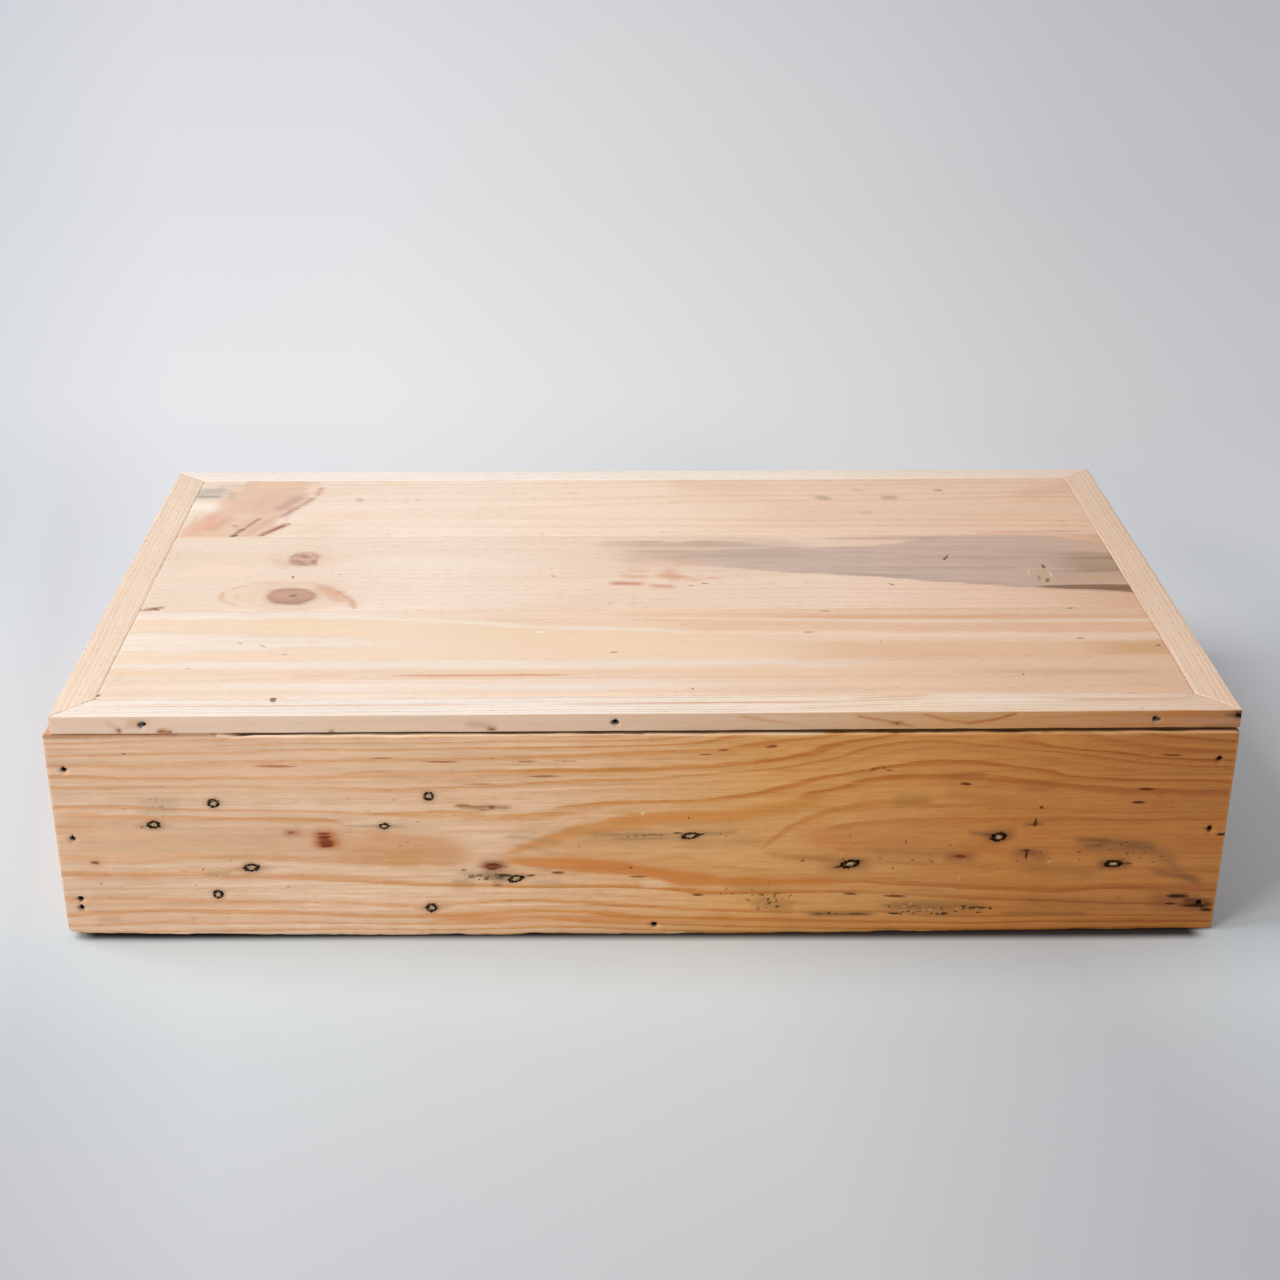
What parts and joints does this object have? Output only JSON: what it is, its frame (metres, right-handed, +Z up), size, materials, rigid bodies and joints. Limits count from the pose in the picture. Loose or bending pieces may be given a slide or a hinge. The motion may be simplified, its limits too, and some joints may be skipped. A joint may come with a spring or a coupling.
{
  "type": "wooden box",
  "caption": "Low rectangular box nailed together from reclaimed pine boards, with a loose lift-off lid of planks in a mitred frame, located by cleats underneath.",
  "frame": {"origin": "middle of the underside of the box, on the surface it stands on", "axes": "+X along the length to the right, +Y from the front board to the back board, +Z up, the way the lid lifts"},
  "size_m": [0.6, 0.352, 0.13],
  "materials": {
    "front_pine": "bare planed reclaimed pine, orange brown to the right",
    "wall_pine": "bare planed reclaimed pine",
    "lid_pine": "bare planed reclaimed pine, pale cream",
    "strip_pine": "bare planed pine, very pale",
    "plain_pine": "bare sawn pine",
    "nail_steel": "dull dark steel, punched below the surface",
    "old_nail_steel": "old nail shanks sanded flush"
  },
  "bodies": {
    "box": {"front_board": "front_pine", "back_board": "wall_pine", "left_end_board": "wall_pine", "right_end_board": "wall_pine", "bottom_plank_front": "plain_pine", "bottom_plank_middle": "plain_pine", "bottom_plank_back": "plain_pine", "front_board_nails": "nail_steel", "back_board_nails": "nail_steel", "front_bottom_nail": "nail_steel", "back_bottom_nail": "nail_steel", "left_end_bottom_nails": "nail_steel", "right_end_bottom_nails": "nail_steel", "front_board_old_nails": "old_nail_steel"},
    "lid": {"lid_plank_front": "lid_pine", "lid_plank_middle": "lid_pine", "lid_plank_back": "lid_pine", "lid_strip_front": "strip_pine", "lid_strip_back": "strip_pine", "lid_strip_left": "strip_pine", "lid_strip_right": "strip_pine", "lid_front_strip_nails": "nail_steel", "lid_back_strip_nails": "nail_steel", "lid_left_strip_nails": "nail_steel", "lid_right_strip_nails": "nail_steel", "lid_cleat_left": "plain_pine", "lid_cleat_right": "plain_pine", "lid_cleat_left_nails": "nail_steel", "lid_cleat_right_nails": "nail_steel"}
  },
  "joints": [
    {"name": "lid_lift", "type": "slide", "parent": "box", "child": "lid", "axis": [0, 0, 1], "range_m": [0, 0.2]}
  ]
}
